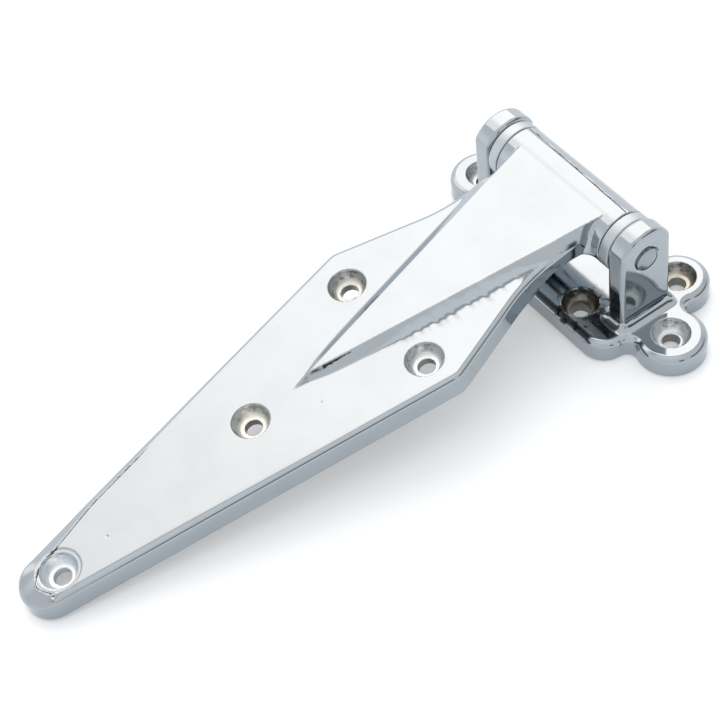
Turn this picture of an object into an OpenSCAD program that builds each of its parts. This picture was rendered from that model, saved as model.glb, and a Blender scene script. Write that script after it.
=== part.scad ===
// Strap hinge for a refrigerator or cold-room door: a long tapered strap with
// a raised arm and a knuckle barrel, a six-hole flange with two ears, one pin
// riveted in the ears, and a spacer ring at each end of the barrel.
// Millimetres. The origin is on the flange's mounting face, under the pin axis.
// +X runs towards the strap's tip, +Y along the pin, +Z away from the mounting face.

/* [Knuckle] */
// Height of the pin's axis above the flange's mounting face
pin_height = 36.2; // [34:0.1:42]
// Diameter of the hinge pin
pin_d = 8.8; // [7:0.1:10]
// How far each riveted pin end stands out of its ear
pin_proud = 0.9; // [0.4:0.1:1.5]
// Outer radius of the barrel and the spacer rings
knuckle_r = 10.6; // [10:0.1:11.4]
// Length of the strap's barrel
barrel_len = 53.2; // [51:0.2:58]
// Thickness of each spacer ring
spacer_t = 4.3; // [3:0.1:5.5]
// Gap between the barrel's end and the spacer ring
side_gap = 0.2; // [0.1:0.05:0.4]
// Radial clearance of the pin in the barrel and the spacer rings
pin_clear = 0.05; // [0.02:0.01:0.1]

/* [Strap] */
// Distance from the pin's axis to the end of the tip
strap_len = 225.6; // [215:0.2:260]
// Thickness of the strap's plate
plate_t = 9.3; // [8.5:0.1:11]
// How far the plate's back lies below the pin's axis
back_drop = 1.4; // [0.8:0.1:3]
// Radius of the tip
tip_r = 10; // [9:0.1:12]
// Distance from the pin's axis to the widest corners
wide_x = 75.5; // [70:0.5:82]
// Half of the plate's width at the widest corners
wide_half = 35.1; // [33:0.1:38]
// Rounding of the widest corners
wide_r = 8; // [4:0.5:10]
// Half of the arm's width where it reaches the barrel
neck_half = 22.2; // [20:0.1:23.5]
// Radius of the sweep between the plate's short edges and the arm
neck_sweep = 60; // [40:1:70]
// Width of the bevel round the plate's top
plate_bevel_w = 2.1; // [1:0.1:3]
// Height of that bevel
plate_bevel_h = 0.75; // [0.4:0.05:1.2]
// Rise of the arm's flat face above the plate's top
arm_rise = 2.5; // [2:0.1:2.6]
// Distance from the pin's axis to the point of the arm's flat face
arm_point_x = 110; // [104:0.5:114]
// Height of the hollow under the arm above the plate's back
arch_rise = 2.9; // [1.5:0.1:3.5]

/* [Flange] */
// Thickness of the flange's base
base_t = 8.25; // [7.5:0.05:10]
// Distance from the pin's axis to the flange's front edge
base_front = 22.5; // [22:0.1:26]
// Distance from the pin's axis back to the straight rear edge
base_rear = 17.5; // [16:0.1:19]
// Width of the bevel round the base's top
base_bevel_w = 2.2; // [1:0.1:2.6]
// Height of that bevel
base_bevel_h = 1.1; // [0.5:0.1:1.5]
// Thickness of each ear
ear_t = 7.8; // [6.5:0.1:8.5]
// Half of each ear's width
ear_half = 10.5; // [9.8:0.1:11.2]
// Radius of each ear's crown about the pin's axis
crown_r = 11.6; // [11.4:0.1:12.6]
// Chamfer round each ear's edges
ear_chamfer = 0.8; // [0.4:0.1:1.2]
// Fillet between each ear and the base
ear_fillet = 3; // [1.5:0.1:3.5]

/* [Screw holes] */
// Diameter of the countersink at the surface
sink_d = 13; // [12:0.1:13.6]
// Diameter at the countersink's floor
sink_floor_d = 8.6; // [8:0.1:9]
// Depth of the countersink
sink_depth = 4.2; // [3:0.1:4.8]
// Diameter of the clearance hole below it
hole_d = 6.2; // [5:0.1:7]
// Strap: diameter of the relief round each hole in the back
relief_d = 9.6; // [8:0.1:11]
// Strap: depth of that relief
relief_depth = 2.2; // [1:0.1:2.6]
// Strap: distance from the pin's axis to the pair of holes
pair_x = 79.1; // [77:0.1:82]
// Strap: half of the spacing of that pair
pair_half = 21.2; // [20:0.1:22]
// Strap: distance from the pin's axis to the middle hole
middle_x = 134.1; // [126:0.1:150]
// Strap: distance from the tip's end back to the tip hole
tip_hole_in = 14.5; // [13:0.1:18]
// Flange: front pair, distance from the pin's axis
front_pair_x = 12.85; // [12:0.05:14]
// Flange: front pair, half of the spacing
front_pair_half = 19.9; // [18:0.1:21]
// Flange: side lobes, distance from the pin's axis
side_lobe_x = -1.05; // [-2:0.05:0]
// Flange: side lobes, half of the spacing
side_lobe_half = 50.3; // [49.5:0.1:51.5]
// Flange: rear lobes, distance from the pin's axis
rear_lobe_x = -19.7; // [-21:0.1:-19]
// Flange: rear lobes, half of the spacing
rear_lobe_half = 32.6; // [31.5:0.1:33.5]

/* [Hidden] */
$fn = 96;

// strap levels, measured from the pin's axis in the strap's own tilted frame
plate_top = plate_t - back_drop;
facet_z = plate_top + arm_rise;
// the hinge lies on a flat surface: the flange flat on it, and the lower edge
// of the strap's tip just touching it
rest_angle = asin(pin_height / norm([strap_len, back_drop])) - atan(back_drop / strap_len);

barrel_half = barrel_len / 2;
ear_in = barrel_half + side_gap + spacer_t + 0.1;
ear_out = ear_in + ear_t;
pin_bore_r = pin_d / 2 + pin_clear;

side_lobe_r = 12.3;
rear_lobe_r = 11.1;
front_corner_r = 9;
front_corner = [base_front - front_corner_r, 33];
side_lobe = [side_lobe_x, side_lobe_half];
rear_lobe = [rear_lobe_x, rear_lobe_half];

// unit normal at an angle
function dir(a) = [cos(a), sin(a)];
function angle(v) = atan2(v[1], v[0]);
function turn(a) = a < 0 ? a + 360 : a;
// the point where two circles cross, on the right-hand side going from the first centre to the second
function cross_right(c1, r1, c2, r2) =
    let (w = c2 - c1, d = norm(w), u = w / d,
         a = (r1 * r1 - r2 * r2 + d * d) / (2 * d), h = sqrt(r1 * r1 - a * a))
    c1 + u * a + [u[1], -u[0]] * h;

// An outline is a chain of arcs [centre, radius, start normal, end normal, steps].
// A negative radius is a hollow arc.
// Inset moves every point inwards along its normal.
function arc_points(a, inset) =
    [for (i = [0:a[4]]) a[0] + dir(a[2] + (a[3] - a[2]) * i / a[4]) * (a[1] - inset)];
function half_outline(arcs, inset) = [for (a = arcs) each arc_points(a, inset)];
function outline(arcs, inset) =
    let (h = half_outline(arcs, inset), m = len(h) - 1)
    concat(h, [for (i = [m:-1:0]) if (abs(h[i][1]) > 0.001) [h[i][0], -h[i][1]]]);

// slab with an outline and a bevel round its top: straight prisms, and one
// closed band for the bevel
module bevelled_slab(arcs, z0, z1, bevel_w, bevel_h) {
    n = len(outline(arcs, 0));
    band = bevel_w + 0.6;
    zb = z1 - bevel_h;
    linear_extrude_from(z0, zb - 1) polygon(outline(arcs, 0));
    linear_extrude_from(z0, z1) polygon(outline(arcs, band));
    points = [for (r = [[zb - 1, 0], [zb, 0], [z1, bevel_w], [z1, band], [zb - 1, band]])
        each [for (p = outline(arcs, r[1])) [p[0], p[1], r[0]]]];
    polyhedron(points, [for (j = [0:4], i = [0:n - 1]) let (k = (j + 1) % 5)
        [j * n + i, k * n + i, k * n + (i + 1) % n, j * n + (i + 1) % n]]);
}

module linear_extrude_from(z0, z1) {
    translate([0, 0, z0]) linear_extrude(z1 - z0) children();
}

// strap outline: tip, wide corner, hollow sweep, then straight into the barrel
tip_c = [strap_len - tip_r, 0];
wide_c = [wide_x, wide_half - wide_r];
neck_c = [25.7, neck_half + neck_sweep];
long_n = angle(wide_c - tip_c) - acos((tip_r - wide_r) / norm(wide_c - tip_c));
short_n = angle(neck_c - wide_c) - acos((wide_r + neck_sweep) / norm(neck_c - wide_c));
strap_arcs = [
    [tip_c, tip_r, 0, long_n, 16],
    [wide_c, wide_r, long_n, short_n, 6],
    [neck_c, -neck_sweep, short_n, 90, 8],
    [[6, neck_half - 4], 4, 90, 180, 4]
];

// flange outline: front edge, round corner, side lobe, rear lobe, rear edge,
// with small hollow fillets between them
front_nip_r = 3.5;
lobe_nip_r = 3;
rear_nip_r = 5;
front_nip = cross_right(front_corner, front_corner_r + front_nip_r, side_lobe, side_lobe_r + front_nip_r);
lobe_nip = cross_right(side_lobe, side_lobe_r + lobe_nip_r, rear_lobe, rear_lobe_r + lobe_nip_r);
rear_nip = [-base_rear - rear_nip_r,
    rear_lobe[1] - sqrt(pow(rear_lobe_r + rear_nip_r, 2) - pow(-base_rear - rear_nip_r - rear_lobe[0], 2))];
flange_arcs = [
    [front_corner, front_corner_r, 0, angle(front_nip - front_corner), 8],
    [front_nip, -front_nip_r, angle(front_nip - front_corner), angle(front_nip - side_lobe), 6],
    [side_lobe, side_lobe_r, angle(front_nip - side_lobe), turn(angle(lobe_nip - side_lobe)), 22],
    [lobe_nip, -lobe_nip_r, turn(angle(lobe_nip - side_lobe)), turn(angle(lobe_nip - rear_lobe)), 6],
    [rear_lobe, rear_lobe_r, turn(angle(lobe_nip - rear_lobe)), turn(angle(rear_nip - rear_lobe)), 20],
    [rear_nip, -rear_nip_r, turn(angle(rear_nip - rear_lobe)), 180, 6]
];

// cylinder along Y
module bar(r, y0, y1) {
    translate([0, y1, 0]) rotate([90, 0, 0]) cylinder(r = r, h = y1 - y0);
}

// countersunk screw hole, mouth at top, through to below bottom, with an
// optional relief in the underside
module screw_hole(x, y, top, bottom, relief = 0) {
    if (relief > 0)
        translate([x, y, bottom - 1]) cylinder(d = relief_d, h = relief + 1);
    translate([x, y, bottom - 1]) cylinder(d = hole_d, h = top - bottom + 2);
    translate([x, y, top - sink_depth])
        cylinder(d1 = sink_floor_d, d2 = sink_d, h = sink_depth);
    translate([x, y, top - 0.001]) cylinder(d = sink_d, h = 3);
}

// the arm: a flat triangle parallel to the plate, with sloping sides
module arm() {
    point = arm_point_x;
    side = neck_half - 0.5;
    hull() {
        translate([0, 0, plate_top - 2]) linear_extrude(0.02) polygon([
            [3, side], [31, side], [point - 11, 8], [point + 11, 0],
            [point - 11, -8], [31, -side], [3, -side]]);
        translate([0, 0, facet_z - 0.02]) linear_extrude(0.02) polygon([
            [1, 21.2], [point - 9, 1.4], [point, 0], [point - 9, -1.4], [1, -21.2]]);
    }
}

module strap_body() {
    arch_half = 13;
    arch_r = (arch_half * arch_half + arch_rise * arch_rise) / (2 * arch_rise);
    difference() {
        union() {
            difference() {
                union() {
                    bevelled_slab(strap_arcs, -back_drop, plate_top, plate_bevel_w, plate_bevel_h);
                    arm();
                }
                // shallow hollow under the arm
                translate([23, 0, -back_drop + arch_rise - arch_r]) bar(arch_r, -30, 30);
            }
            bar(knuckle_r, -barrel_half, barrel_half);
        }
        bar(pin_bore_r, -barrel_half - 1, barrel_half + 1);
        for (s = [-1, 1]) screw_hole(pair_x, s * pair_half, plate_top, -back_drop, relief_depth);
        screw_hole(middle_x, 0, plate_top, -back_drop, relief_depth);
        screw_hole(strap_len - tip_hole_in, 0, plate_top, -back_drop, relief_depth);
    }
}

module strap() {
    color([0.86, 0.88, 0.9])
        translate([0, 0, pin_height]) rotate([0, rest_angle, 0]) strap_body();
}

// one ear on the +Y side: a flat-sided upright under a round crown, chamfered
module ear() {
    c = ear_chamfer;
    intersection() {
        translate([0, 0, base_t - 1]) linear_extrude(pin_height + crown_r - base_t + 2) polygon([
            [ear_half, ear_in + c], [ear_half, ear_out - c], [ear_half - c, ear_out],
            [-ear_half + c, ear_out], [-ear_half, ear_out - c], [-ear_half, ear_in + c],
            [-ear_half + c, ear_in], [ear_half - c, ear_in]]);
        union() {
            translate([0, 0, pin_height]) rotate([-90, 0, 0]) rotate_extrude() polygon([
                [0, ear_in], [crown_r - c, ear_in], [crown_r, ear_in + c],
                [crown_r, ear_out - c], [crown_r - c, ear_out], [0, ear_out]]);
            translate([-ear_half - 2, ear_in, 0]) cube([2 * ear_half + 4, ear_t, pin_height]);
        }
    }
    // fillets between the ear's faces and the base
    f = ear_fillet;
    w = ear_half - c;
    for (side = [[ear_in, -1], [ear_out, 1]])
        translate([w, side[0], base_t]) rotate([90, 0, -90]) fillet_strip(f, side[1], 2 * w);
}

// hollow fillet strip: in the XY plane, corner at the origin, running along +Z
module fillet_strip(f, s, len) {
    linear_extrude(len) polygon(concat(
        [[s * 0.5, -0.5], [-s * f, -0.5]],
        [for (i = [0:8]) [-s * (f - f * sin(i * 11.25)), f - f * cos(i * 11.25)]],
        [[s * 0.5, f]]));
}

module flange() {
    color([0.84, 0.86, 0.88])
    difference() {
        union() {
            bevelled_slab(flange_arcs, 0, base_t, base_bevel_w, base_bevel_h);
            ear();
            mirror([0, 1, 0]) ear();
        }
        translate([0, 0, pin_height]) bar(pin_d / 2, -ear_out - 1, ear_out + 1);
        for (s = [-1, 1]) {
            screw_hole(front_pair_x, s * front_pair_half, base_t, 0);
            screw_hole(side_lobe_x, s * side_lobe_half, base_t, 0);
            screw_hole(rear_lobe_x, s * rear_lobe_half, base_t, 0);
        }
    }
}

module hinge_pin() {
    r = pin_d / 2;
    e = ear_out + pin_proud;
    color([0.78, 0.8, 0.82])
        translate([0, 0, pin_height]) rotate([-90, 0, 0]) rotate_extrude() polygon([
            [0, -e], [r - 0.7, -e], [r, -e + 0.7], [r, e - 0.7], [r - 0.7, e], [0, e]]);
}

module spacer(y0) {
    c = 0.3;
    color([0.8, 0.82, 0.85])
        translate([0, 0, pin_height]) rotate([-90, 0, 0]) rotate_extrude() polygon([
            [pin_bore_r, y0], [knuckle_r - c, y0], [knuckle_r, y0 + c],
            [knuckle_r, y0 + spacer_t - c], [knuckle_r - c, y0 + spacer_t],
            [pin_bore_r, y0 + spacer_t]]);
}

module spacer_near() { spacer(barrel_half + side_gap); }
module spacer_far() { mirror([0, 1, 0]) spacer(barrel_half + side_gap); }

strap();
flange();
hinge_pin();
spacer_near();
spacer_far();
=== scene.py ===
import math
import bmesh
import bpy
import numpy as np
from mathutils import Matrix, Vector


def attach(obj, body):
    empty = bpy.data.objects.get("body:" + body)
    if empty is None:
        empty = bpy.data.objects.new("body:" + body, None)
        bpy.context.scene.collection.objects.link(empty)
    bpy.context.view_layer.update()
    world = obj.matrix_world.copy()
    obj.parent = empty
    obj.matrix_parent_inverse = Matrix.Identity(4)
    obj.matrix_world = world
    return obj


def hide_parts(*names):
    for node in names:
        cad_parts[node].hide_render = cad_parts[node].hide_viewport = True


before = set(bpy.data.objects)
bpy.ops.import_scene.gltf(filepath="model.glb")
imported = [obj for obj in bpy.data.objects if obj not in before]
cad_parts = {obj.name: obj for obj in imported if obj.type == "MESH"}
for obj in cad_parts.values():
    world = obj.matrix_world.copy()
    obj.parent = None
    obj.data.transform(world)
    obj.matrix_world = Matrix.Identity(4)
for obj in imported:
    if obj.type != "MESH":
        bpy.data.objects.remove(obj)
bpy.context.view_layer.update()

# Every length in the shape functions below is in millimetres.
# The castings are written as distance functions: the same outlines, levels and
# holes as the construction model, with their edges rounded, their corners
# filleted and their countersinks bowl-shaped. They are turned into meshes once,
# and each point is then moved onto the surface exactly.

# ---------------------------------------------------------------- shape helpers


def rmax(a, b, r):
    """Intersection with a rounded edge."""
    if r <= 0:
        return np.maximum(a, b)
    return np.minimum(np.maximum(a, b), -r) + np.hypot(np.maximum(a + r, 0), np.maximum(b + r, 0))


def rmin(a, b, r):
    """Union with a hollow fillet."""
    if np.isscalar(r) and r <= 0:
        return np.minimum(a, b)
    return np.maximum(np.minimum(a, b), r) - np.hypot(np.maximum(r - a, 0), np.maximum(r - b, 0))


def step(e0, e1, v):
    t = np.clip((v - e0) / (e1 - e0), 0, 1)
    return t * t * (3 - 2 * t)


def unit(a):
    return np.array([math.cos(a), math.sin(a)])


class Outline:
    """Signed distance to the upper half of a smooth chain of arcs [centre, radius, start, end]
    (angles of the normals, in radians; a negative radius is hollow), with straight lines between."""

    def __init__(self, arcs):
        self.arcs = arcs
        self.lines = []
        for (c0, r0, _, e0), (c1, r1, s1, _) in zip(arcs, arcs[1:]):
            p = np.array(c0) + unit(e0) * r0
            q = np.array(c1) + unit(s1) * r1
            if np.hypot(*(q - p)) > 1e-3:
                self.lines.append((p, q, unit((e0 + s1) / 2)))

    def __call__(self, x, y):
        best = None
        for (cx, cy), r, a0, a1 in self.arcs:
            dx, dy = x - cx, y - cy
            if r < 0:
                dx, dy = -dx, -dy
            mid, half = (a0 + a1) / 2, abs(a1 - a0) / 2
            rho = np.hypot(dx, dy)
            d = rho - r if r > 0 else -r - rho
            inside = dx * math.cos(mid) + dy * math.sin(mid) >= rho * math.cos(half) - 1e-6
            best = self._nearer(best, d, inside)
        for p, q, n in self.lines:
            u = (q - p) / np.hypot(*(q - p))
            t = (x - p[0]) * u[0] + (y - p[1]) * u[1]
            nn = np.array([u[1], -u[0]])
            if nn @ n < 0:
                nn = -nn
            d = (x - p[0]) * nn[0] + (y - p[1]) * nn[1]
            best = self._nearer(best, d, (t >= -1e-6) & (t <= np.hypot(*(q - p)) + 1e-6))
        return best

    @staticmethod
    def _nearer(best, d, valid):
        d = np.where(valid, d, 1e3)
        return d if best is None else np.where(np.abs(d) < np.abs(best), d, best)


def ang(v):
    return math.atan2(v[1], v[0])


def cross_right(c1, r1, c2, r2):
    w = np.array(c2) - np.array(c1)
    d = np.hypot(*w)
    u = w / d
    a = (r1 * r1 - r2 * r2 + d * d) / (2 * d)
    h = math.sqrt(r1 * r1 - a * a)
    return np.array(c1) + u * a + np.array([u[1], -u[0]]) * h


def sink(x, y, z, x0, y0, top, bottom, relief, depth=4.2):
    """A screw hole: bowl-shaped countersink, flat floor, clearance hole, relief in the back."""
    rho = np.hypot(x - x0, y - y0)
    t = np.clip((top - z) / depth, 0, 1)
    wall = 4.3 + 2.2 * (1 - t ** 1.7) + np.clip(z - top, 0, 0.5) * 0.4
    cone = rmax((rho - wall) * 0.86, (top - depth) - z, 0.5)
    cut = np.minimum(cone, rho - 3.1)
    if relief:
        cut = np.minimum(cut, np.maximum(rho - 4.8, z - (bottom + 2.2)))
    return cut


# ---------------------------------------------------------------- strap

PIN_Z = 36.2
TOP, BACK, FACET = 7.9, -1.4, 10.4
BARREL_R, BARREL_H = 10.6, 26.6
TIP_C, TIP_R = np.array([215.6, 0.0]), 10.0
WIDE_C, WIDE_R = np.array([75.5, 27.1]), 8.0
NECK_C, NECK_R = np.array([25.7, 82.2]), 60.0
REST = math.asin(PIN_Z / math.hypot(225.6, 1.4)) - math.atan(1.4 / 225.6)
long_n = ang(WIDE_C - TIP_C) - math.acos((TIP_R - WIDE_R) / np.hypot(*(WIDE_C - TIP_C)))
short_n = ang(NECK_C - WIDE_C) - math.acos((WIDE_R + NECK_R) / np.hypot(*(NECK_C - WIDE_C)))
STRAP_LINE = Outline([
    (TIP_C, TIP_R, 0.0, long_n),
    (WIDE_C, WIDE_R, long_n, short_n),
    (NECK_C, -NECK_R, short_n, math.pi / 2),
    (np.array([6.0, 18.2]), 4.0, math.pi / 2, math.pi),
])
STRAP_HOLES = [(79.1, 21.9), (79.1, -20.5), (134.1, -0.3), (211.1, 0.3)]
MARKS = [(217.4, 7.4, 8.2, 0.9), (218.6, 8.2, 7.2, 0.55), (192.6, 1.6, 8.15, 0.5), (112.9, 10.6, 8.15, 0.42),
         (93.0, -22.0, 8.12, 0.36)]


def strap_distance(x, y, z, k):
    """k 1 has the real rounded edges, k 0 has them sharp."""
    ay = np.abs(y)
    d2 = STRAP_LINE(x, ay)
    # the bevel round the top: a little wider and deeper on the far side near the tip
    far = step(1.5, -4, y)
    w = 2.1 + 0.6 * step(120, 185, x) + 2.1 * step(186, 212, x) * far + 4.2 * step(211, 224.5, x) * step(9.5, 3, ay)
    h = 0.75 * (w / 2.1) ** 0.75
    bev = ((d2 + w) * h + (z - TOP) * w) / np.hypot(w, h)
    body = rmax(z - TOP, bev, 0.20 * k)
    body = rmax(body, d2, 1.0 * k)
    body = rmax(body, BACK - z, 0.5 * k)
    # the arm: flat triangle with sloping sides and a sharp point
    sa, ca = math.sin(math.atan(0.2007)), math.cos(math.atan(0.2007))
    line = (np.hypot(y, 0.25) - 0.2007 * (110 - x)) * ca
    level = 5.4 + 2.4 * np.clip((x - 9) / 17, 0, 1)
    run = np.clip((22.2 - 0.2007 * (110 - x)) / (FACET - level), 0.28, 1.42)
    run = np.minimum(run, np.interp(x, (90, 97.5, 104.5, 110.9, 116.8), (1.42, 1.32, 1.12, 0.67, 0.545)))
    side = (line - run * (FACET - z)) / np.hypot(1, run)
    neck = step(32, 18, x)
    arm = np.maximum(z - FACET - 0.3, side - 0.05 * neck)
    arm = np.maximum(arm, ay - 21.6)
    arm = np.maximum(arm, 1.0 - x)
    arm = np.maximum(arm, 2.0 - z)
    # its foot runs into the plate in a hollow that is broad towards the barrel, uneven from
    # hand polishing on the near side, and sharp at the point
    wavy = 1.0 + 0.14 * np.sin(x * 0.42 + 0.6) + 0.08 * np.sin(x * 1.07 + 1.0) + 0.045 * np.sin(x * 2.1)
    broad = step(94, 66, x) * step(27, 41, x) * wavy * step(-4, 4, y)
    body = rmin(body, arm, (0.35 + 2.3 * broad) * (k if k > 0 else 1e-6) + 1e-6)
    body = rmax(body, z - FACET, 0.16 * k)
    # at the neck the plate's own rim is cut down to the same slope, which ends in a crease
    body = rmax(body, side - 1.0 * (1 - neck) - 300.0 * step(31, 45, x), 0.05 * k)
    # the hollow under the arm
    ar = (13 ** 2 + 2.9 ** 2) / (2 * 2.9)
    body = rmax(body, ar - np.hypot(x - 23, z - (BACK + 2.9 - ar)), 0.5 * k)
    barrel = rmax(np.hypot(x, z) - BARREL_R, ay - BARREL_H, 0.45 * k)
    fillet = 0.12 + 2.4 * step(4.5, -1.0, z) + 1.3 * step(20.3, 22.0, ay) * step(10.35, 9.3, z)
    body = rmin(body, barrel, fillet * (k if k > 0 else 1e-6) + 1e-6)
    # fine groove along the back of the barrel's crest
    seam = np.radians(28 - 0.22 * y)
    groove = np.hypot(x + BARREL_R * np.sin(seam), z - BARREL_R * np.cos(seam)) - 0.30
    body = rmax(body, -np.maximum(groove, ay - 26.2), 0.06 * k)
    # and a scored line along the far edge of the flat, near the tip
    score = np.hypot(d2 + w, z - TOP - 0.05) - 0.30 * step(158, 170, x) * np.maximum(step(0, -1, y), step(215.5, 217, x)) * step(9.5, 8, y)
    body = rmax(body, -score, 0.05 * k)
    # round spot-face about the tip hole, with a sloping edge
    tx, ty = STRAP_HOLES[3]
    spot = np.maximum((np.hypot(x - tx, y - ty) - 7.5 - 0.8 * np.clip(z - TOP + 0.45, 0, 1)) * 0.78, (TOP - 0.45) - z)
    body = rmax(body, -spot, 0.2 * k)
    for i, (hx, hy) in enumerate(STRAP_HOLES):
        body = rmax(body, -sink(x, y, z, hx, hy, TOP - (0.45 if i == 3 else 0), BACK, True), 0.3 * k)
    body = rmax(body, -nick(x, y, z), 0.05 * k)
    # casting marks: a nick at the edge of the tip's flat, pinholes, small knocks at the neck
    for px, py, pz, pr in MARKS:
        body = rmax(body, pr - np.sqrt((x - px) ** 2 + (y - py) ** 2 + (z - pz) ** 2), 0.08 * k)
    return np.maximum(body, 4.45 - np.hypot(x, z))


def nick(x, y, z):
    """Distance to a small tapering flaw in the near slope, close to the arm's point."""
    a, b = np.array([105.0, 1.75, 9.75]), np.array([95.0, 3.55, 10.0])
    u = b - a
    t = np.clip(((x - a[0]) * u[0] + (y - a[1]) * u[1] + (z - a[2]) * u[2]) / (u @ u), 0, 1)
    return np.sqrt((x - a[0] - t * u[0]) ** 2 + (y - a[1] - t * u[1]) ** 2 + (z - a[2] - t * u[2]) ** 2) - 0.42 + 0.30 * t


def flange_painted_shade(x, y, z):
    """Painted shade: in front of the ears and round the front holes, where the flange lies under the strap. Up to 0.5:
    patchy.
    """
    ay = np.abs(y)
    patch = step(13.5, 7.0, np.hypot((x - 13.5) * 0.9, ay - 22.0)) * step(11.5, 8.6, z) * step(4.5, 7.0, z)
    return 0.5 * patch


def strap_darkening(x, y, z):
    """Darker along the groove at the back of the barrel, along the scored line near the tip, and in the small flaw near
    the arm's point.
    """
    ay = np.abs(y)
    seam = np.radians(28 - 0.22 * y)
    off = np.hypot(x + BARREL_R * np.sin(seam), z - BARREL_R * np.cos(seam))
    along_barrel = step(0.06, 0.16, BARREL_R - np.hypot(x, z)) * step(1.2, 0.8, off) * (ay < 26.0)
    w = 2.1 + 0.6 * step(120, 185, x) + 2.1 * step(186, 212, x) * step(1.5, -4, y) \
        + 4.2 * step(211, 224.5, x) * step(9.5, 3, ay)
    d2 = STRAP_LINE(x, ay)
    h = 0.75 * (w / 2.1) ** 0.75
    below = np.minimum(TOP - z, -((d2 + w) * h + (z - TOP) * w) / np.hypot(w, h))
    scored = step(0.05, 0.13, below) * step(0.8, 0.5, np.abs(d2 + w)) * (x > 160) * (z > TOP - 0.6) * ((y < -1) | ((x > 217) & (y < 8)))
    flaw = step(0.12, -0.02, nick(x, y, z)) * (x > 80)
    return np.maximum(np.maximum(along_barrel, 0.8 * scored), flaw)


# ---------------------------------------------------------------- flange

BASE, BASE_FRONT, BASE_REAR = 8.25, 22.5, 17.5
FC, FR = np.array([13.5, 33.0]), 9.0
SL, SR = np.array([-1.05, 50.3]), 12.3
RL, RR = np.array([-19.7, 32.6]), 11.1
fn = cross_right(FC, FR + 3.5, SL, SR + 3.5)
ln = cross_right(SL, SR + 3, RL, RR + 3)
rn = np.array([-22.5, 32.6 - math.sqrt(16.1 ** 2 - 2.8 ** 2)])


def turn(a):
    return a + 2 * math.pi if a < 0 else a


FLANGE_LINE = Outline([
    (np.array([13.5, -60.0]), 9.0, 0.0, 0.0),
    (FC, FR, 0.0, ang(fn - FC)),
    (fn, -3.5, ang(fn - FC), ang(fn - SL)),
    (SL, SR, ang(fn - SL), turn(ang(ln - SL))),
    (ln, -3.0, turn(ang(ln - SL)), turn(ang(ln - RL))),
    (RL, RR, turn(ang(ln - RL)), turn(ang(rn - RL))),
    (rn, -5.0, turn(ang(rn - RL)), math.pi),
    (np.array([-12.5, -60.0]), 5.0, math.pi, math.pi),
])
FLANGE_HOLES = [(s_x, s * s_y) for s_x, s_y in ((12.85, 19.9), (-1.05, 50.3), (-19.7, 32.6)) for s in (1, -1)]
EAR_IN, EAR_OUT, EAR_HALF, CROWN_R = 31.2, 39.0, 10.5, 11.6


def flange_distance(x, y, z, k):
    ay = np.abs(y)
    d2 = FLANGE_LINE(x, ay)
    w, h = 2.2, 1.1
    body = rmax(z - BASE, ((d2 + w) * h + (z - BASE) * w) / math.hypot(w, h), 0.14 * k)
    body = rmax(body, d2, 1.1 * k)
    body = rmax(body, -z, 0.5 * k)
    crown = np.where(z > PIN_Z, np.hypot(x, z - PIN_Z), np.abs(x)) - CROWN_R
    prof = rmax(np.abs(x) - EAR_HALF, crown, 0.8 * k)
    mid, half = (EAR_IN + EAR_OUT) / 2, (EAR_OUT - EAR_IN) / 2
    ear = rmax(prof, np.abs(ay - mid) - half, 1.6 * k)
    ear = np.maximum(ear, 2.0 - z)
    body = rmin(body, ear, 3.8)
    for hx, hy in FLANGE_HOLES:
        body = rmax(body, -sink(x, y, z, hx, hy, BASE, 0.0, False), 0.3 * k)
    # pin bores, with a worn lip at the outer faces
    axis = np.hypot(x, z - PIN_Z)
    lip = np.clip(ay - (EAR_OUT - 0.5), 0, 0.6)
    worn = 1.7 + 0.8 * np.sin(2.0 * np.arctan2(z - PIN_Z, x) - 0.6) + 0.3 * np.sin(5.0 * np.arctan2(z - PIN_Z, x))
    return rmax(body, 4.4 + worn * lip - axis, 0.12 * k)


# ---------------------------------------------------------------- meshing


def gradient(f, p, e=0.02):
    g = np.empty_like(p)
    for i in range(3):
        d = np.zeros(3)
        d[i] = e
        a, b = p + d, p - d
        g[:, i] = f(a[:, 0], a[:, 1], a[:, 2]) - f(b[:, 0], b[:, 1], b[:, 2])
    return g / (2 * e)


def spaced(lo, hi, wide, narrow, zones):
    """Grid lines from lo to hi, narrow apart inside the zones and wide apart elsewhere."""
    out, v = [lo], lo
    while v < hi:
        v += narrow if any(a <= v < b for a, b in zones) else wide
        out.append(v)
    return np.array(out)


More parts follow.
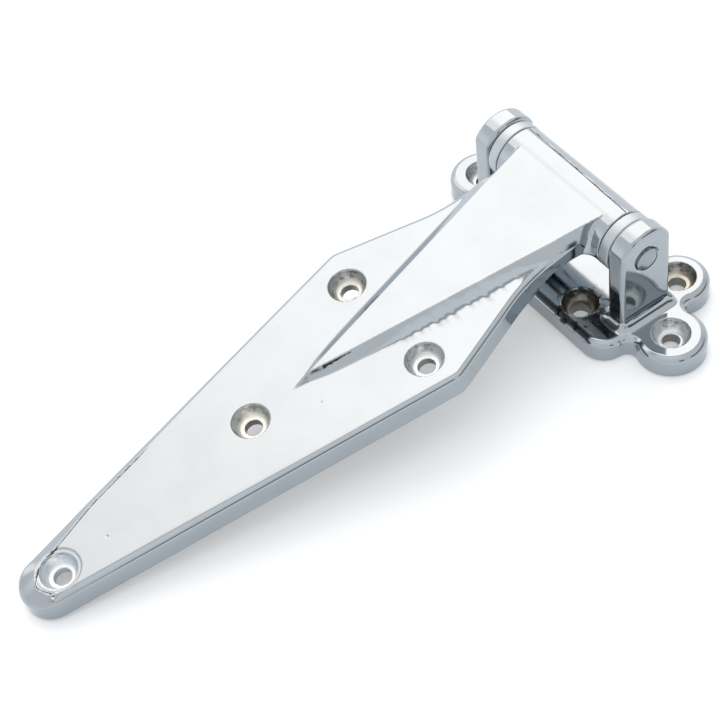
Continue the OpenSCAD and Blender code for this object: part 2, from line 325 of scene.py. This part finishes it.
def skin(dist, ax):
    """Dual contouring of dist on a box grid: quads with their points on the surface, and on the
    ridges and in the corners where it has them."""

    def sharp(x, y, z):
        return dist(x, y, z, 0)

    v = np.broadcast_to(sharp(ax[0][:, None, None], ax[1][None, :, None], ax[2][None, None, :]),
                        tuple(len(a) for a in ax)).astype(np.float32)
    s = v < 0
    n = tuple(len(a) - 1 for a in ax)
    count = np.zeros(n, np.int8)
    for i in (0, 1):
        for j in (0, 1):
            for m in (0, 1):
                count += s[i:i + n[0], j:j + n[1], m:m + n[2]]
    active = (count > 0) & (count < 8)
    index = np.full(n, -1, np.int32)
    cells = np.argwhere(active)
    index[active] = np.arange(len(cells))
    total = np.zeros((len(cells), 3))
    hits = np.zeros(len(cells))
    ata = np.zeros((len(cells), 3, 3))
    atb = np.zeros((len(cells), 3))
    quads = []
    for a in range(3):
        b, c = (a + 1) % 3, (a + 2) % 3
        s0 = [slice(None)] * 3
        s1 = [slice(None)] * 3
        s0[a], s1[a] = slice(0, -1), slice(1, None)
        cross = s[tuple(s0)] != s[tuple(s1)]
        e = np.argwhere(cross)
        v0 = v[e[:, 0], e[:, 1], e[:, 2]].astype(float)
        e1 = e.copy()
        e1[:, a] += 1
        v1 = v[e1[:, 0], e1[:, 1], e1[:, 2]].astype(float)
        t = v0 / (v0 - v1)
        p = np.stack([ax[i][e[:, i]] for i in range(3)], 1)
        width = (ax[a][1:] - ax[a][:-1])[e[:, a]]
        for _ in range(2):
            q = p.copy()
            q[:, a] += t * width
            d = sharp(q[:, 0], q[:, 1], q[:, 2])
            lower = np.sign(d) == np.sign(v0)
            # one false-position step each way keeps the crossing inside the edge
            span = np.where(lower, 1 - t, t)
            ref = np.where(lower, v1, v0)
            t = np.clip(np.where(lower, t + span * d / (d - ref), t - span * d / (d - ref)), 0.001, 0.999)
        p[:, a] += t * width
        g = gradient(sharp, p, 0.004)
        g /= np.maximum(np.linalg.norm(g, axis=1, keepdims=True), 1e-9)
        around = []
        for ob, oc in ((0, 0), (1, 0), (1, 1), (0, 1)):
            k = e.copy()
            k[:, b] -= 1 - ob
            k[:, c] -= 1 - oc
            ok = (k[:, b] >= 0) & (k[:, c] >= 0) & (k[:, b] < n[b]) & (k[:, c] < n[c])
            kk = np.clip(k, 0, np.array(n) - 1)
            ci = np.where(ok, index[kk[:, 0], kk[:, 1], kk[:, 2]], -1)
            around.append(ci)
            m = ci >= 0
            np.add.at(total, ci[m], p[m])
            np.add.at(hits, ci[m], 1)
            np.add.at(ata, ci[m], g[m][:, :, None] * g[m][:, None, :])
            np.add.at(atb, ci[m], g[m] * np.sum(g[m] * p[m], 1)[:, None])
        quad = np.stack(around, 1)
        inner = s[e[:, 0], e[:, 1], e[:, 2]]
        quad = np.where(inner[:, None], quad, quad[:, ::-1])
        quads.append(quad[(quad >= 0).all(1)])
    mean = total / np.maximum(hits, 1)[:, None]
    lam = 0.02 * hits[:, None, None] * np.eye(3)
    rhs = atb - np.einsum("nij,nj->ni", ata, mean)
    x = mean + np.linalg.solve(ata + lam, rhs[:, :, None])[:, :, 0]
    low = np.stack([ax[i][cells[:, i]] for i in range(3)], 1)
    high = np.stack([ax[i][cells[:, i] + 1] for i in range(3)], 1)
    x = np.clip(x, low - 0.05 * (high - low), high + 0.05 * (high - low))
    return x, np.concatenate(quads)


def settle(f, p, rounds=4):
    for _ in range(rounds):
        g = gradient(f, p, 0.01)
        d = f(p[:, 0], p[:, 1], p[:, 2])
        s = d / np.maximum(np.sum(g * g, 1), 0.2)
        p = p - np.clip(s, -0.35, 0.35)[:, None] * g
    return p


def thin_out(verts, faces, keep):
    """Collapses the flat areas, where long triangles show nothing, down to about keep triangles."""
    mesh = bpy.data.meshes.new("dense")
    mesh.vertices.add(len(verts))
    mesh.vertices.foreach_set("co", (verts / 1000).astype(np.float32).ravel())
    mesh.loops.add(faces.size)
    mesh.loops.foreach_set("vertex_index", faces.astype(np.int32).ravel())
    mesh.polygons.add(len(faces))
    mesh.polygons.foreach_set("loop_start", np.arange(0, faces.size, 4, dtype=np.int32))
    mesh.update(calc_edges=True)
    o = bpy.data.objects.new("dense", mesh)
    bpy.context.collection.objects.link(o)
    m = o.modifiers.new("fewer", "DECIMATE")
    m.ratio = min(1.0, keep / (2 * len(faces)))
    m.use_collapse_triangulate = True
    done = o.evaluated_get(bpy.context.evaluated_depsgraph_get()).to_mesh()
    done.calc_loop_triangles()
    co = np.empty(3 * len(done.vertices), np.float32)
    done.vertices.foreach_get("co", co)
    tri = np.empty(3 * len(done.loop_triangles), np.int32)
    done.loop_triangles.foreach_get("vertices", tri)
    co, tri = co.reshape(-1, 3).astype(float) * 1000, tri.reshape(-1, 3)
    o.to_mesh_clear()
    bpy.data.objects.remove(o)
    bpy.data.meshes.remove(mesh)
    return co, tri


def cast(name, dist, axes, place, holes, top, low, painted_shade_and_dirt=None, keep=185000):
    """The mesh object of a casting. place turns millimetres in the casting's frame into the row frame."""
    verts, quads = skin(dist, axes)
    dense = 2 * len(quads)

    def real(x, y, z):
        return dist(x, y, z, 1)

    verts = settle(real, verts)
    verts, tris = thin_out(verts, quads, keep)
    verts = settle(real, verts, 2)
    normal = gradient(real, verts, 0.03)
    normal /= np.maximum(np.linalg.norm(normal, axis=1, keepdims=True), 1e-9)
    rot = np.array(place)[:3, :3]
    out = verts @ rot.T + np.array(place)[:3, 3]
    mesh = bpy.data.meshes.new(name)
    mesh.vertices.add(len(out))
    mesh.vertices.foreach_set("co", (out / 1000).astype(np.float32).ravel())
    mesh.loops.add(tris.size)
    mesh.loops.foreach_set("vertex_index", tris.astype(np.int32).ravel())
    mesh.polygons.add(len(tris))
    mesh.polygons.foreach_set("loop_start", np.arange(0, tris.size, 3, dtype=np.int32))
    mesh.update(calc_edges=True)
    mesh.polygons.foreach_set("use_smooth", np.ones(len(mesh.polygons), bool))
    mesh.normals_split_custom_set_from_vertices((normal @ rot.T).tolist())
    # what the material needs to know: how deep in which screw hole, how much painted shade (where negative, painted
    # light) goes inside it, and whether on the raw back
    depth = np.full(len(verts), -1.0)
    rho = np.full(len(verts), 20.0)
    warm = np.zeros(len(verts))
    painted_shading = np.zeros(len(verts))
    for hx, hy, w_, d_ in holes:
        near = np.hypot(verts[:, 0] - hx, verts[:, 1] - hy)
        m = (near < 7.5) & (verts[:, 2] < top + 0.5)
        depth[m] = top - verts[m, 2]
        rho[m] = near[m]
        warm[m] = w_
        painted_shading[m] = d_
    back = ((normal[:, 2] < -0.6) & (verts[:, 2] < low + 3.2) & (verts[:, 0] > (11 if name.startswith("strap") else -99))).astype(float)
    for key, data in (("sink_depth", depth), ("sink_rho", rho), ("sink_warm", warm), ("sink_painted_shading", painted_shading), ("back", back),
                      ("painted_shade_and_dirt", np.zeros(len(verts)) if painted_shade_and_dirt is None else painted_shade_and_dirt(*verts.T))):
        mesh.attributes.new(key, "FLOAT", "POINT").data.foreach_set("value", data.astype(np.float32))
    o = bpy.data.objects.new(name, mesh)
    bpy.context.collection.objects.link(o)
    a, b, c = out[tris[:, 0]], out[tris[:, 1]], out[tris[:, 2]]
    flip = (np.sum(np.cross(b - a, c - a) * (normal @ rot.T)[tris].mean(1), 1) < 0).sum()
    print("CAST", name, dense, "triangles thinned to", len(tris), "turned over:", int(flip))
    return o


def lathe(name, profile, steps=160):
    """A turned piece about the pin's axis. profile is a closed list of (y, r) in millimetres."""
    m = len(profile)
    ring = np.arange(steps) * 2 * math.pi / steps
    verts = np.array([[r * math.cos(a) / 1000, y / 1000, (PIN_Z + r * math.sin(a)) / 1000]
                      for y, r in profile for a in ring])
    faces = []
    closed = profile[0][1] > 0.01
    for j in range(m if closed else m - 1):
        k = (j + 1) % m
        for i in range(steps):
            i2 = (i + 1) % steps
            faces.append((j * steps + i, j * steps + i2, k * steps + i2, k * steps + i))
    mesh = bpy.data.meshes.new(name)
    mesh.from_pydata(verts.tolist(), [], faces)
    bm = bmesh.new()
    bm.from_mesh(mesh)
    bmesh.ops.remove_doubles(bm, verts=bm.verts, dist=1e-6)
    bmesh.ops.recalc_face_normals(bm, faces=bm.faces)
    bm.to_mesh(mesh)
    bm.free()
    for p in mesh.polygons:
        p.use_smooth = True
    mesh.set_sharp_from_angle(angle=math.radians(28))
    o = bpy.data.objects.new(name, mesh)
    bpy.context.collection.objects.link(o)
    return o


def arc(cy, cr, r, a0, a1, n=6):
    """Points of a rounding in a profile: centre (cy, cr), angles in degrees from +y towards +r."""
    return [(cy + r * math.cos(math.radians(a0 + (a1 - a0) * i / n)),
             cr + r * math.sin(math.radians(a0 + (a1 - a0) * i / n))) for i in range(n + 1)]


tilt = Matrix.Translation((0, 0, PIN_Z)) @ Matrix.Rotation(REST, 4, "Y")
# screw holes: x, y, how warm each countersink is inside, and how much painted shade it gets inside (the tip hole's
# negative amount paints its wall and bore light)
strap_sinks = [(79.1, 21.9, 0.1, 0.1), (79.1, -20.5, 0.5, 0.3), (134.1, -0.3, 0.7, 0.1), (211.1, 0.3, 0.0, -0.5)]
flange_sinks = [(12.85, 19.9, 0.8, 0.9), (12.85, -19.9, 0.8, 0.9), (-1.05, 50.3, 0.1, 0.1), (-1.05, -50.3, 0.1, 0.1),
                (-19.7, 32.6, 1.0, 0.5), (-19.7, -32.6, 1.0, 0.5)]
strap = cast("strap_casting", strap_distance, (
    spaced(-11.33, 226.4, 0.60, 0.36, [(-7.2, -3.0), (2, 10), (70.5, 87.5), (93.5, 107), (125.5, 142.5), (156, 226.5)]),
    spaced(-35.9, 35.9, 0.40, 0.31, [(-18, -4)]), spaced(-11.31, 11.2, 0.40, 0.31, [(7.2, 10.0)])),
    tilt, strap_sinks, TOP, BACK, strap_darkening)
flange = cast("flange_casting", flange_distance, (
    spaced(-31.63, 23.2, 0.36, 0.36, []), spaced(-63.3, 63.3, 0.38, 0.38, []),
    spaced(-0.63, 48.6, 0.38, 0.38, [])), Matrix(), flange_sinks, BASE, 0.0, flange_painted_shade)

# the pin: riveted ends, slightly domed, with a rounded rim
e = EAR_OUT
end = [(e + 0.9, 0.0), (e + 0.88, 1.2), (e + 0.82, 2.4), (e + 0.7, 3.3)] + arc(e + 0.05, 3.75, 0.62, 72, 20, 4)[1:] \
    + [(e + 0.45, 4.32), (e - 0.3, 4.4)]
pin_profile = [(-y, r) for y, r in end] + [(y, r) for y, r in reversed(end)]
pin = lathe("hinge_pin_rod", pin_profile)


def ring_profile(y0, y1):
    c = 0.55
    return [(y0, 4.45)] + arc(y0 + c, BARREL_R - c, c, 180, 90) + arc(y1 - c, BARREL_R - c, c, 90, 0) + [(y1, 4.45)]


ring_near = lathe("spacer_ring_near", ring_profile(26.8, 31.1))
ring_far = lathe("spacer_ring_far", ring_profile(-31.1, -26.8))

# ---------------------------------------------------------------- materials


class Nodes:
    def __init__(self, tree):
        self.t = tree

    def add(self, kind, **props):
        n = self.t.nodes.new(kind)
        for k, v in props.items():
            if k.startswith("in_"):
                key = k[3:]
                key = int(key) if key.isdigit() else key.replace("_", " ")
                n.inputs[key].default_value = v
            else:
                setattr(n, k, v)
        return n

    def link(self, a, b):
        self.t.links.new(a, b)

    def math(self, op, a, b=None, c=None, clamp=False):
        n = self.add("ShaderNodeMath", operation=op, use_clamp=clamp)
        for i, v in enumerate((a, b, c)):
            if v is None:
                continue
            if isinstance(v, (int, float)):
                n.inputs[i].default_value = v
            else:
                self.link(v, n.inputs[i])
        return n.outputs[0]

    def smooth(self, v, lo, hi, out0=0.0, out1=1.0):
        n = self.add("ShaderNodeMapRange", interpolation_type="SMOOTHSTEP", clamp=True)
        n.inputs["From Min"].default_value = lo
        n.inputs["From Max"].default_value = hi
        n.inputs["To Min"].default_value = out0
        n.inputs["To Max"].default_value = out1
        self.link(v, n.inputs["Value"])
        return n.outputs["Result"]


def metal(name, colour, rough, wave=0.10, grain=0.02, pits=0.0, casting=False):
    """Plated metal: a polished casting's slow ripples, fine polishing grain, a few pinholes and faint haze.
    A casting also has duller countersinks with pale floors, painted shade on their walls, floors and bores (painted
    light in the tip hole), painted shade in front of the flange's ears, darker grooves and a flaw on the strap, and a
    raw back."""
    m = bpy.data.materials.new(name)
    m.use_nodes = True
    g = Nodes(m.node_tree)
    bsdf = m.node_tree.nodes["Principled BSDF"]
    bsdf.inputs["Metallic"].default_value = 1.0
    at = g.add("ShaderNodeTexCoord").outputs["Object"]

    def noise(scale, detail=2.0, rough_=0.5):
        n = g.add("ShaderNodeTexNoise", in_Scale=scale, in_Detail=detail, in_Roughness=rough_)
        g.link(at, n.inputs["Vector"])
        return n.outputs[0]

    def blend(f, a, b):
        n = g.add("ShaderNodeMix", data_type="RGBA")
        for key, v in (("Factor", f), ("A", a), ("B", b)):
            if isinstance(v, tuple):
                n.inputs[key].default_value = (*v, 1)
            elif isinstance(v, float):
                n.inputs[key].default_value = v
            else:
                g.link(v, n.inputs[key])
        # the colour sockets come after the number and vector ones of the same name
        return n.outputs["Result"]

    def attribute(key):
        return g.add("ShaderNodeAttribute", attribute_name=key).outputs["Fac"]

    haze = noise(55.0, 3.0, 0.55)
    fine_n = noise(900.0, 2.0, 0.6)
    ripple = noise(70.0, 1.0, 0.4)
    spots = g.add("ShaderNodeTexVoronoi", in_Scale=60.0, in_Randomness=1.0)
    g.link(at, spots.inputs["Vector"])
    pick = g.add("ShaderNodeSeparateColor")
    g.link(spots.outputs["Color"], pick.inputs[0])
    chosen = g.smooth(pick.outputs[0], 0.93, 0.94)
    spot = g.math("MULTIPLY", g.smooth(spots.outputs["Distance"], 0.035, 0.012), chosen)
    tone = g.smooth(haze, 0.35, 0.75)
    col = blend(tone, colour, tuple(c * 0.955 for c in colour))
    col = blend(g.math("MULTIPLY", spot, pits), col, tuple(c * 0.35 for c in colour))
    r = g.math("MULTIPLY_ADD", tone, 0.03, rough)
    r = g.math("MULTIPLY_ADD", fine_n, 0.02, r)
    height = g.math("MULTIPLY", ripple, wave)
    height = g.math("MULTIPLY_ADD", fine_n, grain, height)
    height = g.math("MULTIPLY_ADD", spot, -0.6 * pits, height)
    if casting:
        depth, rho, warm, painted_shading = (attribute(k) for k in ("sink_depth", "sink_rho", "sink_warm", "sink_painted_shading"))
        blotch = noise(420.0, 2.0, 0.5)
        inside = g.math("MULTIPLY", g.smooth(depth, 0.35, 0.75), g.smooth(rho, 6.9, 6.6))
        ledge = g.math("MULTIPLY", g.smooth(depth, 2.7, 3.5), g.smooth(rho, 3.0, 3.25))
        bore = g.math("MULTIPLY", g.smooth(depth, 4.25, 4.6), g.smooth(rho, 3.6, 3.3))
        wall = blend(warm, (0.58, 0.62, 0.65), (0.60, 0.605, 0.575))
        # painted shade: a countersink's wall darkens towards near black by the hole's positive per-hole amount
        wall = blend(g.math("MULTIPLY", painted_shading, 0.9, clamp=True), wall, (0.075, 0.065, 0.05))
        # painted light: a negative per-hole amount (the tip hole) lightens the wall, and below also the bore
        light = g.math("MULTIPLY", painted_shading, -1.4, clamp=True)
        wall = blend(light, wall, (0.66, 0.72, 0.76))
        # partly real stains, partly painted shade: the dark blotches get stronger with the hole's painted shade amount
        stain_and_shade = g.math("MULTIPLY", g.smooth(blotch, 0.50, 0.64), g.math("MULTIPLY_ADD", painted_shading, 1.0, 0.35, clamp=True))
        wall = blend(stain_and_shade, wall, (0.10, 0.095, 0.085))
        floor_c = blend(warm, (0.74, 0.78, 0.80), (0.86, 0.83, 0.73))
        # painted shade on the pale floor ring as well
        floor_c = blend(g.math("MULTIPLY", painted_shading, 0.9, clamp=True), floor_c, (0.16, 0.135, 0.10))
        wall = blend(ledge, wall, floor_c)
        # painted shade: the clearance bore below the countersink is darkened
        wall = blend(bore, wall, (0.22, 0.22, 0.21))
        # painted light: the tip hole's bore is made pale instead of shaded
        wall = blend(g.math("MULTIPLY", bore, light), wall, (0.70, 0.76, 0.79))
        col = blend(inside, col, wall)
        rough_in = g.math("MULTIPLY_ADD", ledge, 0.16, 0.26)
        n = g.add("ShaderNodeMix", data_type="FLOAT")
        g.link(inside, n.inputs["Factor"]); g.link(r, n.inputs["A"]); g.link(rough_in, n.inputs["B"])
        r = n.outputs["Result"]
        height = g.math("MULTIPLY_ADD", g.math("MULTIPLY", inside, blotch), 1.1, height)
        # painted shade in front of the flange's ears and round its front holes; on the strap, darker grooves and a
        # small flaw
        painted_shade_and_dirt = attribute("painted_shade_and_dirt")
        patchy = g.smooth(g.math("MULTIPLY_ADD", painted_shade_and_dirt, 0.62, blotch), 0.76, 0.90)
        shade_and_dirt_mask = g.math("MAXIMUM", patchy, g.smooth(painted_shade_and_dirt, 0.6, 0.8))
        col = blend(shade_and_dirt_mask, col, (0.055, 0.056, 0.055))
        r = g.math("MULTIPLY_ADD", shade_and_dirt_mask, 0.22, r)
        raw = attribute("back")
        col = blend(raw, col, (0.20, 0.205, 0.20))
        r = g.math("MULTIPLY_ADD", raw, 0.26, r)
        height = g.math("MULTIPLY_ADD", g.math("MULTIPLY", raw, noise(260.0, 3.0, 0.6)), 1.6, height)
    g.link(col, bsdf.inputs["Base Color"])
    g.link(r, bsdf.inputs["Roughness"])
    b = g.add("ShaderNodeBump", in_Strength=1.0, in_Distance=0.0002)
    g.link(height, b.inputs["Height"])
    g.link(b.outputs["Normal"], bsdf.inputs["Normal"])
    return m


CHROME = (0.366, 0.405, 0.438)
strap.data.materials.append(metal("strap_chrome", CHROME, 0.055, wave=0.35, grain=0.012, pits=1.0, casting=True))
flange.data.materials.append(metal("flange_chrome", CHROME, 0.055, wave=0.35, grain=0.012, pits=0.6, casting=True))
pin.data.materials.append(metal("pin_metal", (0.30, 0.335, 0.36), 0.16, wave=0.9, grain=0.12))
ring_mat = metal("spacer_chrome", (0.44, 0.49, 0.525), 0.40, wave=0.2, grain=0.05)
ring_near.data.materials.append(ring_mat)
ring_far.data.materials.append(ring_mat)

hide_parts("strap")
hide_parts("flange")
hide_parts("hinge_pin")
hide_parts("spacer_near")
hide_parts("spacer_far")
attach(strap, "strap")
for o in (flange, pin, ring_near, ring_far):
    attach(o, "flange")

# ---------------------------------------------------------------- floor and light

bpy.ops.mesh.primitive_plane_add(size=8, location=(0, 0, -0.0004))
floor = bpy.context.object
floor.name = "floor"
fm = bpy.data.materials.new("floor_paper")
fm.use_nodes = True
fb = fm.node_tree.nodes["Principled BSDF"]
fb.inputs["Base Color"].default_value = (0.62, 0.64, 0.66, 1)
fb.inputs["Roughness"].default_value = 0.9
fb.inputs["Specular IOR Level"].default_value = 0.1
# the paper is lit from below as well, like a light table
fb.inputs["Emission Color"].default_value = (0.97, 0.985, 1.0, 1)
fb.inputs["Emission Strength"].default_value = 0.30
floor.data.materials.append(fm)

world = bpy.data.worlds.new("studio")
bpy.context.scene.world = world
world.use_nodes = True
wt = world.node_tree
for n in list(wt.nodes):
    wt.nodes.remove(n)
g = Nodes(wt)
direction = g.add("ShaderNodeTexCoord").outputs["Generated"]
split = g.add("ShaderNodeSeparateXYZ")
g.link(direction, split.inputs[0])


def dot(v):
    n = g.add("ShaderNodeVectorMath", operation="DOT_PRODUCT")
    n.inputs[1].default_value = Vector(v).normalized()
    g.link(direction, n.inputs[0])
    return n.outputs["Value"]


# the big soft box behind the object, which the top faces mirror; it fades towards the tip's end
box_dir = (-0.10, -0.60, 0.80)
d = dot(box_dir)
side_d = dot((-0.612, -0.561, 0.557))
main_glow = g.smooth(d, math.cos(math.radians(31)), math.cos(math.radians(27)))
side_glow = g.smooth(side_d, math.cos(math.radians(15.5)), math.cos(math.radians(12.5)))
box_glow = g.math("MAXIMUM", main_glow, side_glow)
fade = g.smooth(split.outputs["X"], -0.15, 0.16, 1.0, 0.78)
rim_dark = g.math("MULTIPLY", g.smooth(d, math.cos(math.radians(37)), math.cos(math.radians(34))),
                  g.math("SUBTRACT", 1.0, box_glow))
above = g.math("MULTIPLY", rim_dark, g.smooth(split.outputs["Y"], -0.45, -0.10))
# the rest of the dome: pale overhead, greyer on the camera's side, paler towards the back horizon,
# dark low down on the camera's side
back = g.smooth(split.outputs["Y"], 0.25, -0.75)
low = g.smooth(split.outputs["Z"], 0.62, 0.20)
zenith = g.smooth(split.outputs["Z"], 0.90, 0.985)
base = g.math("MULTIPLY_ADD", zenith, 0.16, 0.92)
base = g.math("MULTIPLY_ADD", g.math("MULTIPLY", back, low), 0.26, base)
front_low = g.math("MULTIPLY", g.smooth(split.outputs["Y"], -0.1, 0.4), g.smooth(split.outputs["Z"], 0.66, 0.50))
front_low = g.math("MULTIPLY", front_low, g.smooth(split.outputs["Z"], 0.20, 0.36))
window = g.math("MULTIPLY", g.smooth(split.outputs["X"], -0.30, -0.22), g.smooth(split.outputs["X"], 0.08, 0.045))
front_low = g.math("MULTIPLY", front_low, g.math("SUBTRACT", 1.0, window))
front_low = g.math("MULTIPLY", front_low, g.smooth(split.outputs["X"], 0.31, 0.25))
base = g.math("MULTIPLY", base, g.math("MULTIPLY_ADD", front_low, -0.88, 1.0))
base = g.math("MULTIPLY", base, g.math("MULTIPLY_ADD", above, -0.45, 1.0))
soft = g.math("MULTIPLY", box_glow, fade)
light = g.math("MULTIPLY_ADD", soft, 2.42, g.math("MULTIPLY", base, g.math("SUBTRACT", 1.19, g.math("MULTIPLY", box_glow, 1.19))))
bg = g.add("ShaderNodeBackground")
g.link(light, bg.inputs["Strength"])
tint = g.add("ShaderNodeMix", data_type="RGBA")
tint.inputs["A"].default_value = (1.0, 1.0, 1.0, 1)
tint.inputs["B"].default_value = (1.065, 0.985, 0.925, 1)
g.link(box_glow, tint.inputs["Factor"])
g.link(tint.outputs["Result"], bg.inputs["Color"])
out = g.add("ShaderNodeOutputWorld")
g.link(bg.outputs[0], out.inputs["Surface"])

ld = bpy.data.lights.new("top_panel", "AREA")
ld.shape = "DISK"
ld.size = 2.2
ld.energy = 8
lo = bpy.data.objects.new("top_panel", ld)
lo.location = (0.1, -0.2, 1.9)
lo.visible_glossy = False
bpy.context.collection.objects.link(lo)

# ---------------------------------------------------------------- camera

AZ, EL, ROLL = math.radians(59.40339), math.radians(49.28831), math.radians(7.87851)
F, CX, CY = 2114.988, 375.777, 344.644
Z0, U0, V0 = 768.4252 * 0.93, 570.0531, 195.0833
c, s, ce, se = math.cos(AZ), math.sin(AZ), math.cos(EL), math.sin(EL)
look = -Vector((c * ce, s * ce, se))
r0 = Vector((-s, c, 0))
dn = look.cross(r0)
right = math.cos(ROLL) * r0 + math.sin(ROLL) * dn
down = -math.sin(ROLL) * r0 + math.cos(ROLL) * dn
R = Matrix((right, down, look))
t = Vector(((U0 - CX) / F * Z0, (V0 - CY) / F * Z0, Z0)) - R @ Vector((0, 0, 38.952 * 0.93))
eye = -(R.transposed() @ t) / 1000
cam_data = bpy.data.cameras.new("camera")
cam = bpy.data.objects.new("camera", cam_data)
bpy.context.collection.objects.link(cam)
basis = Matrix((right, -down, -look)).transposed().to_4x4()
cam.matrix_world = Matrix.Translation(eye) @ basis
cam_data.sensor_width = 36
cam_data.lens = F / 720 * 36
cam_data.shift_x = (360 - CX) / 720
cam_data.shift_y = (CY - 360) / 720
cam_data.clip_start = 0.01
bpy.context.scene.camera = cam

bpy.context.scene.view_settings.view_transform = "Standard"
bpy.context.scene.view_settings.look = "None"
bpy.context.scene.view_settings.exposure = 0.0
bpy.context.scene.view_settings.gamma = 1.0

bpy.context.view_layer.update()
